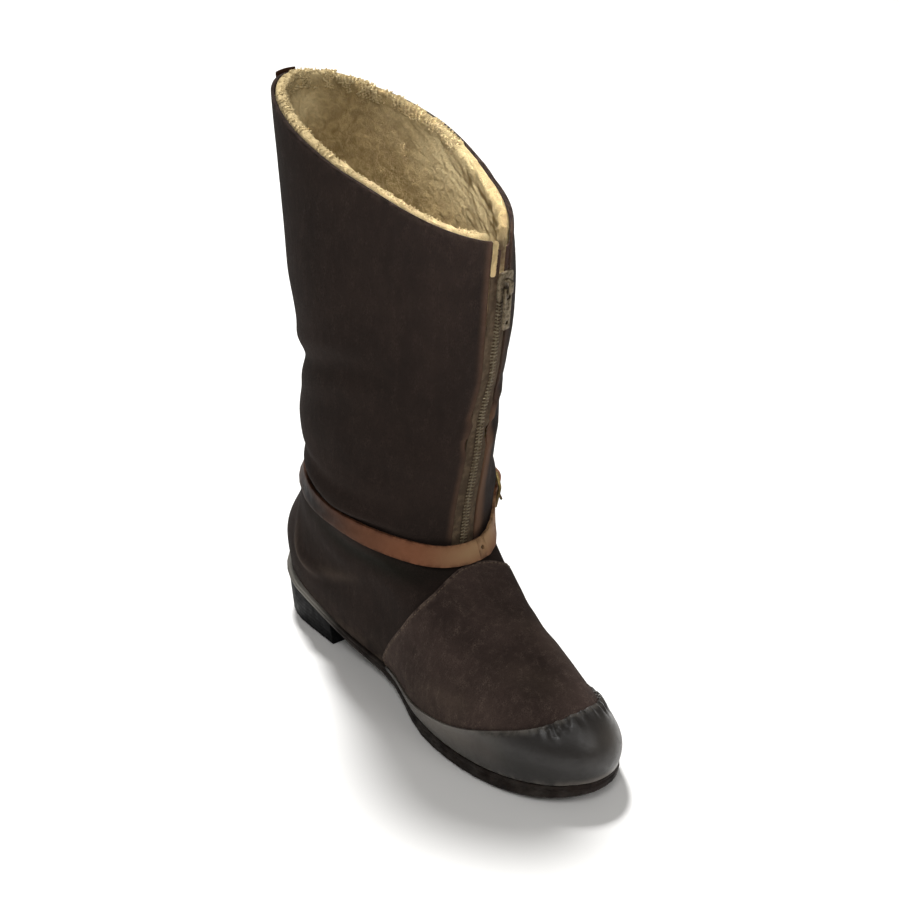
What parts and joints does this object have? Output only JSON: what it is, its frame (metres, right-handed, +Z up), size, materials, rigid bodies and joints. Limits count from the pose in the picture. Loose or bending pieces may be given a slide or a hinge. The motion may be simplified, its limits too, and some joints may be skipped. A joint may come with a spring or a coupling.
{
  "type": "flying boot",
  "caption": "Calf-high flying boot for the left foot with a fleece-lined suede shaft, a front zip, a buckled ankle strap, a smooth toe galosh and a heeled sole.",
  "frame": {"origin": "on the floor, on the flat bottom of the heel, in the boot's middle plane", "axes": "+Z up along the shaft, -Y towards the toe, +X towards the outer side of the foot"},
  "size_m": [0.1326, 0.3108, 0.3851],
  "materials": {
    "suede": "worn nap, matt",
    "vamp": "rubbed nap, matt",
    "galosh": "smooth, satin",
    "sole": "matt",
    "heel": "matt",
    "insole": "felt",
    "fleece": "tufted fleece",
    "strap": "smooth, worn",
    "tape": "woven cotton",
    "teeth": "dull",
    "metal": "dull",
    "brass": "aged"
  },
  "bodies": {
    "boot": {"outsole": "sole", "heel": "heel", "insole": "insole", "upper": "suede", "fleece_lining": "fleece", "vamp": "vamp", "toe_galosh": "galosh", "zip_tape_outer": "tape", "zip_tape_inner": "tape", "zip_chain": "teeth", "zip_slider": "metal", "ankle_strap": "strap", "buckle_frame": "brass", "buckle_prong": "brass", "back_tab": "strap"},
    "pull": {"zip_pull": "metal"}
  },
  "joints": [
    {"name": "pull_swing", "type": "hinge", "parent": "boot", "child": "pull", "pos_m": [0.01231, -0.13161, 0.29353], "axis": [-0.9736, -0.2276, -0.0203], "range_deg": [0, 150]}
  ]
}
